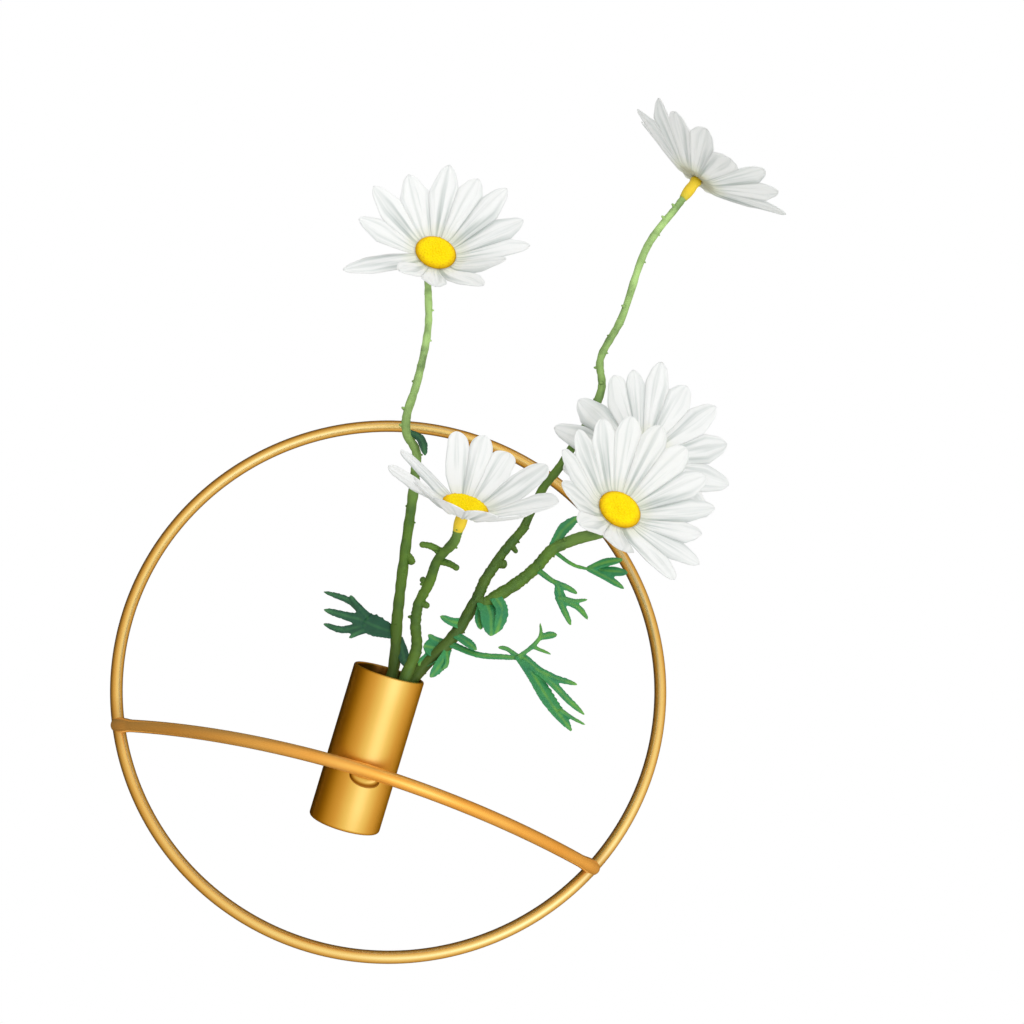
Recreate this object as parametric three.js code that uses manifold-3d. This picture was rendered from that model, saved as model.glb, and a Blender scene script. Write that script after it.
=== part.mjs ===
// A wall-mounted flower holder: a wire ring that lies on the wall, a bar bowed out across it,
// and a leaning cup on the bar that holds three sprays of artificial daisies.
// Millimetres. The wall is the plane y = 0, the room is towards -y, +x is right and +z is up.
// The origin is on the wall, at the middle of the pad below the hanger tab's keyhole.

import * as THREE from 'three';
import { mergeVertices } from 'three/addons/utils/BufferGeometryUtils.js';
import Module from 'manifold-3d';

const wasm = await Module();
wasm.setup();

// Holder
const RING_RADIUS = 100; // to the middle of the wire
const WIRE_RADIUS = 2.25;
const BAR_DROP = 46; // from the ring's centre down to the bar
const BAR_BOW = 54.5; // from the ring's plane out to the bar's apex
const STUD_HALF_WIDTH = 5.2; // along the bar
const STUD_HALF_HEIGHT = 3.9;
const STUD_LENGTH = 2; // from the bar's back to the cup's front
const STUD_DROP = 0.5; // from the bar's height down to the stud's axis
const STUD_SHIFT = 2.6; // from the bar's middle right to the stud's axis
const CUP_RADIUS = 12.25;
const CUP_LENGTH = 53.5;
const CUP_WALL = 1.2;
const CUP_LEAN = 21.3; // degrees, the mouth towards the room
const CUP_BELOW_BAR = 16.05; // from the bar's height down to the cup's bottom, along the cup
const EDGE_CHAMFER = 0.4; // on the cup's rim and bottom edge
const BASE_THICKNESS = 1.5;
const TAB_WIDTH = 10;
const TAB_LENGTH = 17; // from the middle of the ring's wire down
const TAB_THICKNESS = 1.6;
const TAB_CORNER = 3;
const KEYHOLE_RADIUS = 3.25;
const KEYHOLE_DROP = 8.8; // from the middle of the ring's wire down to the keyhole's centre
const SLOT_RADIUS = 1.6;
const SLOT_RISE = 4; // from the keyhole's centre up to the slot's end
const PAD_DROP = 14.5; // from the middle of the ring's wire down to the pad's middle
const JOINT_GAP = 0.3; // clearance left at every joint between two pieces

// Sprays
const STEM_RADIUS = 1.8;
const BRANCH_RADIUS = 1.3;
const MIDDLE_BRANCH_RADIUS = 1.8;
const RIM_CLEARANCE = 0.8; // between a stem and the cup's wall at the mouth
const FLOOR_SPREAD = 5.5; // from the cup's axis to a stem's foot
const LEFT_STEM_ANGLE = 85; // degrees round the cup, from +x towards the wall
const FRONT_STEM_ANGLE = -48;
const RIGHT_STEM_ANGLE = 12;
const NECK_LENGTH = 3; // the straight end of a stem, below its sleeve
const SLEEVE_LENGTH = 8.5;
const SLEEVE_RADIUS = 2.1;
const SLEEVE_FLARE = 2.4;
const PEG_RADIUS = 1.8;
const PETAL_LENGTH = 33; // from the head's centre to a petal's tip
const PETAL_COUNT = 13;
const PETAL_NOTCH = 25; // from the head's centre to the notch between two petals
const PETAL_THICKNESS = 0.9;
const DISC_RADIUS = 7;
const DISC_DOME = 2;
const LEAF_THICKNESS = 1;
const STALK_RADIUS = 0.9;
const LOBE_SWEEP = 0.1; // how far a lobe's notch lies behind its point, as a share of the lobes' pitch

// Facets
const RING_STEPS = 72;
const WIRE_SIDES = 10;
const STEM_SIDES = 8;
const STEM_STEP = 6; // length of stem between two sections
const LATHE_SIDES = 40;
const SMALL_LATHE_SIDES = 16;
const PETAL_COLUMNS = 5;
const DOME_STEPS = 4;

const GOLD = { color: 0xd7a048, roughness: 0.35, metalness: 1 };
const PETAL_WHITE = { color: 0xf2f2f0, roughness: 0.8, metalness: 0 };
const DISC_YELLOW = { color: 0xf5d800, roughness: 0.8, metalness: 0 };
const SLEEVE_YELLOW = { color: 0xd8b818, roughness: 0.6, metalness: 0 };
const STEM_GREEN = { color: 0x6f9a3c, roughness: 0.6, metalness: 0 };
const LEAF_GREEN = { color: 0x2f7a55, roughness: 0.6, metalness: 0 };

const X = new THREE.Vector3(1, 0, 0);
const Z = new THREE.Vector3(0, 0, 1);

// Helpers: each returns a closed geometry or adds one named piece.

function addPiece(parent, name, geometry, finish) {
  const piece = new THREE.Mesh(geometry, new THREE.MeshStandardMaterial(finish));
  piece.name = name;
  parent.add(piece);
  return piece;
}

function toSolid(geometry) {
  const plain = geometry.clone();
  plain.deleteAttribute('normal');
  plain.deleteAttribute('uv');
  const merged = mergeVertices(plain);
  return new wasm.Manifold(new wasm.Mesh({
    numProp: 3,
    vertProperties: new Float32Array(merged.attributes.position.array),
    triVerts: new Uint32Array(merged.index.array),
  }));
}

function toGeometry(solid) {
  const mesh = solid.getMesh();
  const geometry = new THREE.BufferGeometry();
  geometry.setAttribute('position', new THREE.BufferAttribute(mesh.vertProperties, 3));
  geometry.setIndex(new THREE.BufferAttribute(mesh.triVerts, 1));
  return geometry;
}

function cut(geometry, cutter) {
  return toGeometry(toSolid(geometry).subtract(toSolid(cutter)));
}

function roundSection(radius, sides) {
  const points = [];
  for (let side = 0; side < sides; side += 1) {
    const angle = (2 * Math.PI * side) / sides;
    points.push(new THREE.Vector2(radius * Math.cos(angle), radius * Math.sin(angle)));
  }
  return new THREE.Shape(points);
}

function tube(path, radius, sides, steps) {
  return new THREE.ExtrudeGeometry(roundSection(radius, sides), { extrudePath: path, steps });
}

function stemTube(path, radius) {
  return tube(path, radius, STEM_SIDES, Math.ceil(path.getLength() / STEM_STEP));
}

function lathe(profile, sides) {
  const points = profile.map(([radius, height]) => new THREE.Vector2(radius, height));
  return new THREE.LatheGeometry(points, sides).rotateX(Math.PI / 2);
}

function ringWire(radius) {
  const torus = new THREE.TorusGeometry(RING_RADIUS, radius, WIRE_SIDES, RING_STEPS);
  return torus.rotateX(Math.PI / 2).translate(0, ringY, ringZ);
}

// Places that follow from the sizes above

const lean = THREE.MathUtils.degToRad(CUP_LEAN);
const ringY = -WIRE_RADIUS;
const ringZ = PAD_DROP - RING_RADIUS;
const barZ = ringZ - BAR_DROP;
const barApexY = ringY - BAR_BOW;
const barHalfSpan = Math.sqrt(RING_RADIUS ** 2 - BAR_DROP ** 2);
const studFrontY = barApexY + WIRE_RADIUS;
const cupFrontY = studFrontY + STUD_LENGTH;
const cupAxisY = cupFrontY + CUP_RADIUS / Math.cos(lean);
const cupMouth = CUP_LENGTH - CUP_BELOW_BAR;
const boreRadius = CUP_RADIUS - CUP_WALL;
const cupAxis = new THREE.Vector3(0, -Math.sin(lean), Math.cos(lean));
const cupBack = new THREE.Vector3(0, Math.cos(lean), Math.sin(lean));

const holder = new THREE.Group();

// Ring: one wire bent to a circle, its back on the wall
addPiece(holder, 'ring', ringWire(WIRE_RADIUS), GOLD);

// Cross bar: a wire bowed in a level plane, its ends coped to the ring
const barPath = new THREE.QuadraticBezierCurve3(
  new THREE.Vector3(-barHalfSpan, ringY, barZ),
  new THREE.Vector3(0, ringY - 2 * BAR_BOW, barZ),
  new THREE.Vector3(barHalfSpan, ringY, barZ),
);
const barWire = tube(barPath, WIRE_RADIUS, WIRE_SIDES, RING_STEPS / 2);
addPiece(holder, 'cross_bar', cut(barWire, ringWire(WIRE_RADIUS + JOINT_GAP)), GOLD);

// Cup: a tube with a disc for its bottom, leaning into the room
const cup = new THREE.Group();
cup.position.set(0, cupAxisY, barZ);
cup.rotation.x = lean;
holder.add(cup);
const cupProfile = [
  [boreRadius, -CUP_BELOW_BAR],
  [CUP_RADIUS - EDGE_CHAMFER, -CUP_BELOW_BAR],
  [CUP_RADIUS, EDGE_CHAMFER - CUP_BELOW_BAR],
  [CUP_RADIUS, cupMouth - EDGE_CHAMFER],
  [CUP_RADIUS - EDGE_CHAMFER, cupMouth],
  [boreRadius, cupMouth],
  [boreRadius, -CUP_BELOW_BAR],
];
addPiece(cup, 'cup_tube', lathe(cupProfile, LATHE_SIDES), GOLD);
const baseProfile = [
  [0, 0],
  [boreRadius - JOINT_GAP, 0],
  [boreRadius - JOINT_GAP, BASE_THICKNESS],
  [0, BASE_THICKNESS],
];
const cupBase = addPiece(cup, 'cup_base', lathe(baseProfile, LATHE_SIDES), GOLD);
cupBase.position.z = -CUP_BELOW_BAR;

// Mount stud: a short oval boss from the cross bar's back to the cup's front
cup.updateMatrix();
const studStock = new THREE.CylinderGeometry(
  STUD_HALF_WIDTH,
  STUD_HALF_WIDTH,
  cupAxisY - studFrontY,
  LATHE_SIDES,
);
studStock.scale(1, 1, STUD_HALF_HEIGHT / STUD_HALF_WIDTH);
studStock.translate(STUD_SHIFT, (cupAxisY + studFrontY) / 2, barZ - STUD_DROP);
const cupEnvelope = new THREE.CylinderGeometry(
  CUP_RADIUS + JOINT_GAP,
  CUP_RADIUS + JOINT_GAP,
  2 * CUP_LENGTH,
  LATHE_SIDES,
);
cupEnvelope.rotateX(Math.PI / 2).applyMatrix4(cup.matrix);
const barEnvelope = tube(barPath, WIRE_RADIUS + JOINT_GAP, WIRE_SIDES, RING_STEPS / 2);
addPiece(holder, 'mount_stud', cut(cut(studStock, cupEnvelope), barEnvelope), GOLD);

// Hanger tab: a keyhole plate coped to the ring's inside, its back flat on the wall
const halfTab = TAB_WIDTH / 2;
const tabOutline = new THREE.Shape();
tabOutline.moveTo(-halfTab, 0);
tabOutline.lineTo(-halfTab, TAB_CORNER - TAB_LENGTH);
tabOutline.absarc(TAB_CORNER - halfTab, TAB_CORNER - TAB_LENGTH, TAB_CORNER, Math.PI, 1.5 * Math.PI);
tabOutline.absarc(halfTab - TAB_CORNER, TAB_CORNER - TAB_LENGTH, TAB_CORNER, 1.5 * Math.PI, 2 * Math.PI);
tabOutline.lineTo(halfTab, 0);
const neckAngle = Math.acos(SLOT_RADIUS / KEYHOLE_RADIUS);
const keyhole = new THREE.Path();
keyhole.absarc(0, SLOT_RISE - KEYHOLE_DROP, SLOT_RADIUS, 0, Math.PI);
keyhole.absarc(0, -KEYHOLE_DROP, KEYHOLE_RADIUS, Math.PI - neckAngle, 2 * Math.PI + neckAngle);
tabOutline.holes.push(keyhole);
const tabPlate = new THREE.ExtrudeGeometry(tabOutline, {
  depth: TAB_THICKNESS,
  bevelEnabled: false,
  curveSegments: WIRE_SIDES,
});
tabPlate.rotateX(Math.PI / 2).translate(0, 0, ringZ + RING_RADIUS);
addPiece(holder, 'hanger_tab', cut(tabPlate, ringWire(WIRE_RADIUS + JOINT_GAP)), GOLD);

// Sprays: their points are offsets from the middle of the cup's mouth
const sprays = new THREE.Group();
sprays.position.set(0, cupAxisY, barZ).addScaledVector(cupAxis, cupMouth);
holder.add(sprays);

// A stem leans in the cup: its foot is on the cup's floor and its side near the rim.
// angle is its place round the cup, counted from +x towards the wall.
function stemInCup(angle) {
  const around = X.clone().multiplyScalar(Math.cos(angle)).addScaledVector(cupBack, Math.sin(angle));
  const rimRadius = boreRadius - STEM_RADIUS - RIM_CLEARANCE;
  const depth = CUP_LENGTH - BASE_THICKNESS;
  const tilt = (rimRadius - FLOOR_SPREAD) / depth;
  const footHeight = JOINT_GAP + STEM_RADIUS * tilt;
  const foot = new THREE.Vector3().addScaledVector(around, FLOOR_SPREAD + tilt * footHeight);
  foot.addScaledVector(cupAxis, footHeight - depth);
  const rim = new THREE.Vector3().addScaledVector(around, rimRadius);
  return [foot, foot.clone().lerp(rim, 0.5), rim];
}

function vectors(points) {
  return points.map((point) => new THREE.Vector3(...point));
}

// The last two points of a stem, in line with the sleeve of the head that it carries
function neck(head) {
  const end = head.centre.clone().addScaledVector(head.facing, -SLEEVE_LENGTH - JOINT_GAP);
  return [end.clone().addScaledVector(head.facing, -NECK_LENGTH), end];
}

function stemPath(start, middle, head) {
  return new THREE.CatmullRomCurve3([...start, ...vectors(middle), ...neck(head)]);
}

// A head: where its petals meet, the way it faces, and how far its petals lift out of a plane
function head(centre, facing, lift) {
  return {
    centre: new THREE.Vector3(...centre),
    facing: new THREE.Vector3(...facing).normalize(),
    lift: THREE.MathUtils.degToRad(lift),
  };
}

// Petals: a ring with rounded lobes that lie flat under the disc and lift beyond it
function petalRing(lift) {
  const columns = PETAL_COUNT * PETAL_COLUMNS;
  const hole = PEG_RADIUS + JOINT_GAP;
  const positions = [];
  const index = [];
  for (let column = 0; column < columns; column += 1) {
    const angle = (2 * Math.PI * column) / columns;
    const across = (2 * (column % PETAL_COLUMNS)) / PETAL_COLUMNS - 1;
    const reach = PETAL_NOTCH + (PETAL_LENGTH - PETAL_NOTCH) * Math.sqrt(1 - across ** 2);
    const outer = DISC_RADIUS + (reach - DISC_RADIUS) * Math.cos(lift);
    const rise = (reach - DISC_RADIUS) * Math.sin(lift);
    const section = [
      [hole, 0],
      [DISC_RADIUS, 0],
      [outer, rise],
      [outer, rise + PETAL_THICKNESS],
      [DISC_RADIUS, PETAL_THICKNESS],
      [hole, PETAL_THICKNESS],
    ];
    const here = column * section.length;
    const beside = ((column + 1) % columns) * section.length;
    section.forEach(([radius, height], corner) => {
      const after = (corner + 1) % section.length;
      positions.push(radius * Math.cos(angle), radius * Math.sin(angle), height);
      index.push(here + corner, beside + corner, here + after);
      index.push(here + after, beside + corner, beside + after);
    });
  }
  const geometry = new THREE.BufferGeometry();
  geometry.setAttribute('position', new THREE.Float32BufferAttribute(positions, 3));
  geometry.setIndex(index);
  return geometry;
}

// A head's pieces: a sleeve that carries it, the ring of petals on the sleeve's peg, and the disc on top
function addHead(name, { centre, facing, lift }) {
  const flower = new THREE.Group();
  flower.position.copy(centre);
  flower.quaternion.setFromUnitVectors(Z, facing);
  sprays.add(flower);
  const sleeveProfile = [
    [0, -SLEEVE_LENGTH],
    [SLEEVE_RADIUS, -SLEEVE_LENGTH],
    [SLEEVE_RADIUS, -SLEEVE_FLARE],
    [SLEEVE_FLARE, -JOINT_GAP],
    [PEG_RADIUS, -JOINT_GAP],
    [PEG_RADIUS, PETAL_THICKNESS],
    [0, PETAL_THICKNESS],
  ];
  addPiece(flower, `${name}_sleeve`, lathe(sleeveProfile, SMALL_LATHE_SIDES), SLEEVE_YELLOW);
  addPiece(flower, `${name}_petals`, petalRing(lift), PETAL_WHITE);
  const discProfile = [[0, 0]];
  for (let step = 0; step < DOME_STEPS; step += 1) {
    const angle = (0.5 * Math.PI * step) / DOME_STEPS;
    discProfile.push([DISC_RADIUS * Math.cos(angle), DISC_DOME * Math.sin(angle)]);
  }
  discProfile.push([0, DISC_DOME]);
  const disc = addPiece(flower, `${name}_disc`, lathe(discProfile, SMALL_LATHE_SIDES), DISC_YELLOW);
  disc.position.z = PETAL_THICKNESS + JOINT_GAP;
}

// Leaf: a stalk from a stem's side to the elbow, and a flat blade from there to the tip, with pointed
// lobes in pairs. at is the share of the stem's length below the leaf, facing the blade's upper side.
function addLeaf(name, stem, at, elbow, tip, facing, width, lobes) {
  const base = stem.path.getPointAt(at);
  const [bend, end, up] = vectors([elbow, tip, facing]);
  const along = end.sub(bend);
  const length = along.length();
  along.normalize();
  up.projectOnPlane(along).normalize();
  const across = up.clone().cross(along);
  const halfRib = STALK_RADIUS;
  const pitch = length / (lobes + 1);
  const side = [new THREE.Vector2(0, halfRib)];
  for (let lobe = 1; lobe <= lobes; lobe += 1) {
    const reach = (width / 2) * Math.sin((Math.PI * lobe) / (lobes + 1));
    side.push(new THREE.Vector2(pitch * lobe, reach));
    side.push(new THREE.Vector2(pitch * lobe + halfRib, reach - halfRib));
    side.push(new THREE.Vector2(pitch * (lobe - LOBE_SWEEP), halfRib));
  }
  const otherSide = side.map((point) => new THREE.Vector2(point.x, -point.y)).reverse();
  const outline = new THREE.Shape([...side, new THREE.Vector2(length, 0), ...otherSide]);
  const blade = new THREE.ExtrudeGeometry(outline, { depth: LEAF_THICKNESS, bevelEnabled: false });
  blade.translate(0, 0, -LEAF_THICKNESS / 2);
  blade.applyMatrix4(new THREE.Matrix4().makeBasis(along, across, up).setPosition(bend));
  const stalkEnd = bend.clone().addScaledVector(along, STALK_RADIUS);
  const stalk = stemTube(new THREE.LineCurve3(base, stalkEnd), STALK_RADIUS);
  const leaf = toGeometry(toSolid(blade).add(toSolid(stalk)));
  addPiece(sprays, name, cut(leaf, stemTube(stem.path, stem.radius + JOINT_GAP)), LEAF_GREEN);
}

// Left spray: one tall head that nods into the room, with a leaf near the cup and a bract on the way up
const leftHead = head([-29.5, -11.5, 150.5], [0.09, -0.97, 0.24], 25);
const leftStem = {
  radius: STEM_RADIUS,
  path: stemPath(
    stemInCup(THREE.MathUtils.degToRad(LEFT_STEM_ANGLE)),
    [
      [-3, 5, 19],
      [-7, 3, 40],
      [-11.2, 1, 65],
      [-12.8, 0.4, 73],
      [-14.6, 0, 79.4],
      [-19.6, -0.6, 84.6],
      [-21.6, -0.6, 90.5],
      [-22, 0, 105],
      [-25, 4, 130],
    ],
    leftHead,
  ),
};
addPiece(sprays, 'left_stem', stemTube(leftStem.path, leftStem.radius), STEM_GREEN);
addHead('left', leftHead);
addLeaf('left_leaf', leftStem, 0.3, [-10, 4.5, 14], [-29, 2.5, 19.5], [0.1, -0.95, 0.2], 19, 2);
addLeaf('left_bract', leftStem, 0.66, [-15.5, -3, 84.5], [-10.6, -3.5, 77.2], [0.3, -0.9, 0], 5, 1);

// Front spray: one low head that leans out in front of the ring
const frontHead = head([9, -49.5, 45.8], [0.02, -0.69, 0.73], 30);
const frontStem = {
  radius: STEM_RADIUS,
  path: stemPath(
    stemInCup(THREE.MathUtils.degToRad(FRONT_STEM_ANGLE)),
    [[6.6, -10.5, 7.5], [4, -17.5, 14], [3.2, -22, 19.5], [4.6, -27.5, 25.5], [5.2, -34, 32]],
    frontHead,
  ),
};
addPiece(sprays, 'front_stem', stemTube(frontStem.path, frontStem.radius), STEM_GREEN);
addHead('front', frontHead);

// Right spray: a stem with three heads. It runs on into the tall branch. The middle branch leaves the
// stem's side, and the back branch the tall branch's side.
const tallHead = head([54, -26, 203.5], [0.34, -0.33, 0.88], 24);
const middleHead = head([58.5, -23.5, 70.5], [0.15, -0.93, 0.33], 25);
const backHead = head([64, 2, 103], [0, -1, 0], 20);
const rightStem = {
  radius: STEM_RADIUS,
  path: new THREE.CatmullRomCurve3([
    ...stemInCup(THREE.MathUtils.degToRad(RIGHT_STEM_ANGLE)),
    ...vectors([[16.5, -2, 16], [21, -4, 32], [24.3, -5.5, 44], [30, -6.5, 62]]),
  ]),
};
addPiece(sprays, 'right_stem', stemTube(rightStem.path, rightStem.radius), STEM_GREEN);

function branchPath(stem, at, middle, flower) {
  return stemPath([stem.path.getPointAt(at)], middle, flower);
}

const tallStart = rightStem.path.getPointAt(1).addScaledVector(rightStem.path.getTangentAt(1), JOINT_GAP);
const tallBranch = {
  radius: BRANCH_RADIUS,
  path: stemPath(
    [tallStart],
    [[32, -6, 77], [36, -4, 89], [42.5, -1, 123], [39, -4, 133], [42, -10, 148], [43.5, -19, 175]],
    tallHead,
  ),
};
addPiece(sprays, 'tall_branch', stemTube(tallBranch.path, tallBranch.radius), STEM_GREEN);
addHead('tall', tallHead);

const rightEnvelope = stemTube(rightStem.path, rightStem.radius + JOINT_GAP);
const middleBranch = {
  radius: MIDDLE_BRANCH_RADIUS,
  path: branchPath(
    rightStem,
    0.68,
    [[24, -4.4, 31.5], [28, -4.5, 36], [33, -4.8, 42], [37.6, -5, 49.2], [41, -5.5, 56.4], [47.4, -7.2, 62]],
    middleHead,
  ),
};
const middleTube = stemTube(middleBranch.path, middleBranch.radius);
addPiece(sprays, 'middle_branch', cut(middleTube, rightEnvelope), STEM_GREEN);
addHead('middle', middleHead);

const tallEnvelope = stemTube(tallBranch.path, tallBranch.radius + JOINT_GAP);
const backPath = branchPath(tallBranch, 0.31, [[46, 8, 104], [56, 15.5, 103]], backHead);
addPiece(sprays, 'back_branch', cut(stemTube(backPath, BRANCH_RADIUS), tallEnvelope), STEM_GREEN);
addHead('back', backHead);

addLeaf('lower_leaf', rightStem, 0.58, [38, -6.5, 16.5], [68, -12, -2], [0.2, -0.9, 0.3], 22, 2);
addLeaf('node_leaf', rightStem, 0.63, [15.5, -5, 22], [9, -7, 24], [0.3, -0.9, 0.2], 7, 1);
addLeaf('inner_leaf', rightStem, 0.56, [13.5, -3, 13], [8, -3.2, 11], [0.1, -0.95, 0.2], 8, 1);
addLeaf('mouth_leaf', rightStem, 0.55, [17, -4.8, 10], [12.2, -6.5, -0.3], [0.8, -0.5, 0.3], 6, 1);
addLeaf('web_leaf', middleBranch, 0.13, [26, -7.8, 29.5], [29.5, -9, 19.5], [0.2, -0.95, 0.1], 11, 1);
addLeaf('hanging_leaf', middleBranch, 0.45, [46, -7, 44], [59, -7, 34], [0.1, -1, 0.1], 15, 2);
addLeaf('ring_leaf', middleBranch, 0.59, [57.5, -3.5, 54], [72, -3.5, 54], [0, -0.9, 0.3], 12, 2);

export default holder;
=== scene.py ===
"""A gold wire ring that hangs on a wall, with a leaning cup that holds three sprays of artificial daisies.

Metres, in the part's own frame: the wall is the plane y = 0, the room is towards -y and +z is up.
"""
import math
import random

import bpy
from mathutils import Matrix, Vector, kdtree


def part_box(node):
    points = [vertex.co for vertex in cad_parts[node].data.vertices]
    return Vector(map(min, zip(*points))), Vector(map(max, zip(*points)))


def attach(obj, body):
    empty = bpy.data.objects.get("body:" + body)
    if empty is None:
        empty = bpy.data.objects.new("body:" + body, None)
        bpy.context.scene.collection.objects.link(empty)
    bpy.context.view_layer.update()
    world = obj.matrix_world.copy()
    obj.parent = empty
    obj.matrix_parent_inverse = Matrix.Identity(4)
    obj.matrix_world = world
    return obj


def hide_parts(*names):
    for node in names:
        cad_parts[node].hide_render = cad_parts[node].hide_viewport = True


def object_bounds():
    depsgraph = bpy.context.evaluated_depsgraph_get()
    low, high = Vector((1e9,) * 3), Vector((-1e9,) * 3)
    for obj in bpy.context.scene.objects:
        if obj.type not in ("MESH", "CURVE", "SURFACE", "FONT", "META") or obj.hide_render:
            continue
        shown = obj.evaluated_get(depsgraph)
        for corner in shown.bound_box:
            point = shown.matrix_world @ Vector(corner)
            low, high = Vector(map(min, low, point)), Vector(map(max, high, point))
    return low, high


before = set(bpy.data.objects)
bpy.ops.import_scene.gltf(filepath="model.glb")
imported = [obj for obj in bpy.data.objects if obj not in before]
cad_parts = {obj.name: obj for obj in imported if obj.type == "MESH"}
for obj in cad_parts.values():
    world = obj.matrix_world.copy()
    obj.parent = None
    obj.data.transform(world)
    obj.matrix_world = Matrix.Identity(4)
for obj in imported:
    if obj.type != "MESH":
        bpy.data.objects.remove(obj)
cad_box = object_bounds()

# Ring
# Round steel wire, rolled to a circle and butt welded, so it shows no end. It lies flat on the wall.
# The whole frame is brazed together, then sprayed with gold lacquer and baked.
MM = 0.001
WIRE_RADIUS = 2.25 * MM
WIRE_SIDES = 28
RING_STEPS = 288
PEEL_WIDTH = 1.5 * MM
PEEL_GLOSS = 0.01
DRIFT_WIDTH = 20 * MM


def linear(hex_colour):
    """A hex sRGB colour as linear RGBA."""
    channels = [int(hex_colour[at:at + 2], 16) / 255 for at in (1, 3, 5)]
    return [c / 12.92 if c <= 0.04045 else ((c + 0.055) / 1.055) ** 2.4 for c in channels] + [1]


def add(tree, kind, inputs=None, **settings):
    """Adds a node. An input takes a value, or the socket that feeds it."""
    made = tree.nodes.new(kind)
    for name, value in settings.items():
        setattr(made, name, value)
    for name, value in (inputs or {}).items():
        if isinstance(value, bpy.types.NodeSocket):
            tree.links.new(value, made.inputs[name])
        else:
            made.inputs[name].default_value = value
    return made


def new_material(name):
    """An empty material and its node tree."""
    material = bpy.data.materials.new(name)
    material.use_nodes = True
    material.node_tree.nodes.clear()
    return material, material.node_tree


def noise(tree, width, detail, place=None):
    """A noise in patches about so wide, over the mesh or over the places that are given."""
    if place is None:
        place = add(tree, "ShaderNodeTexCoord").outputs["Object"]
    made = add(tree, "ShaderNodeTexNoise", {"Vector": place, "Scale": 1 / width, "Detail": detail})
    return made.outputs["Fac"]


def remap(tree, value, low, high, to_low=0, to_high=1):
    """Stretches the span of a value from low to high over another span, and holds it at the ends."""
    spans = {"From Min": low, "From Max": high, "To Min": to_low, "To Max": to_high}
    return add(tree, "ShaderNodeMapRange", {"Value": value, **spans}).outputs["Result"]


def mix(tree, share, first, second):
    """A colour between two, each a hex colour or a socket."""
    first, second = (linear(colour) if isinstance(colour, str) else colour for colour in (first, second))
    made = add(tree, "ShaderNodeMix", {"Factor": share, "A": first, "B": second}, data_type="RGBA")
    return made.outputs["Result"]


def bump(tree, height, strength, depth):
    """The normal of a surface that is dimpled by a noise."""
    dimples = {"Height": height, "Strength": strength, "Distance": depth}
    return add(tree, "ShaderNodeBump", dimples).outputs["Normal"]


def marked(tree, name):
    """What mark stored at a piece's points."""
    return add(tree, "ShaderNodeAttribute", attribute_name=name).outputs["Fac"]


def end_material(tree, colour, roughness, inputs=None):
    """Ends a material: one surface, with its colour, its roughness and other inputs by name."""
    looks = {"Base Color": colour, "Roughness": roughness, **(inputs or {})}
    surface = add(tree, "ShaderNodeBsdfPrincipled", looks)
    add(tree, "ShaderNodeOutputMaterial", {"Surface": surface.outputs["BSDF"]})


def new_tree(name, **sizes):
    """A geometry tree with a geometry in and out and a named input for each size."""
    tree = bpy.data.node_groups.new(name, "GeometryNodeTree")
    tree.interface.new_socket("Geometry", in_out="INPUT", socket_type="NodeSocketGeometry")
    for size, kind in sizes.items():
        tree.interface.new_socket(size, in_out="INPUT", socket_type=kind)
    tree.interface.new_socket("Geometry", in_out="OUTPUT", socket_type="NodeSocketGeometry")
    return tree, tree.nodes.new("NodeGroupInput").outputs


def new_piece(name, points, edges=(), faces=()):
    """A mesh object at the origin."""
    mesh = bpy.data.meshes.new(name)
    mesh.from_pydata(points, edges, faces)
    piece = bpy.data.objects.new(name, mesh)
    bpy.context.scene.collection.objects.link(piece)
    return piece


def settle(piece):
    """Turns a piece and its modifiers into a plain mesh."""
    bpy.context.view_layer.update()
    evaluated = piece.evaluated_get(bpy.context.evaluated_depsgraph_get())
    mesh = bpy.data.meshes.new_from_object(evaluated)
    piece.modifiers.clear()
    piece.data = mesh


def grow(piece, tree, **sizes):
    """Runs a geometry tree on a piece and keeps the result as a plain mesh."""
    modifier = piece.modifiers.new(tree.name, "NODES")
    modifier.node_group = tree
    for socket in tree.interface.items_tree:
        if socket.name in sizes:
            modifier[socket.identifier] = sizes[socket.name]
    settle(piece)


def mark(piece, name, values, kind="FLOAT"):
    """Stores a value at each point of a piece, for its tree or material to read."""
    piece.data.attributes.new(name, kind, "POINT").data.foreach_set("value", values)


def join(piece, body, cad_node):
    """Fixes a piece to a body, in place of the CAD node that it stands for."""
    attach(piece, body)
    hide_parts(cad_node)


def gold_lacquer(name, warm, pale, metal, roughness):
    """Gold lacquer over steel, sprayed and baked.

    A soft metal gloss with a faint orange peel, and a tone that drifts slowly from warm to pale.
    It is brown where a piece is marked so: at the brazed joints, which are that colour, and as painted shade
    inside the cup and round the mount stud.
    """
    material, tree = new_material(name)
    peel = noise(tree, PEEL_WIDTH, 1)
    tone = mix(tree, noise(tree, DRIFT_WIDTH, 1), warm, pale)
    # Brown at the brazed joints is the braze's own colour; inside the cup and round the mount stud it is
    # painted shade.
    tone = mix(tree, marked(tree, "brown"), tone, "#9A5E22")
    end_material(tree, tone, remap(tree, peel, 0, 1, roughness - PEEL_GLOSS, roughness + PEEL_GLOSS), {
        "Metallic": metal, "Normal": bump(tree, peel, 0.03, 0.03 * MM),
    })
    return material


# On the wire the lacquer is glossier and its colour is paler, as painted highlight, so that the wire shows a
# bright line along its length.
wire_gold_painted_highlight = gold_lacquer("gold_lacquer_on_wire_painted_highlight", "#F8D698", "#FDE5B2", 0.95, 0.24)


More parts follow.
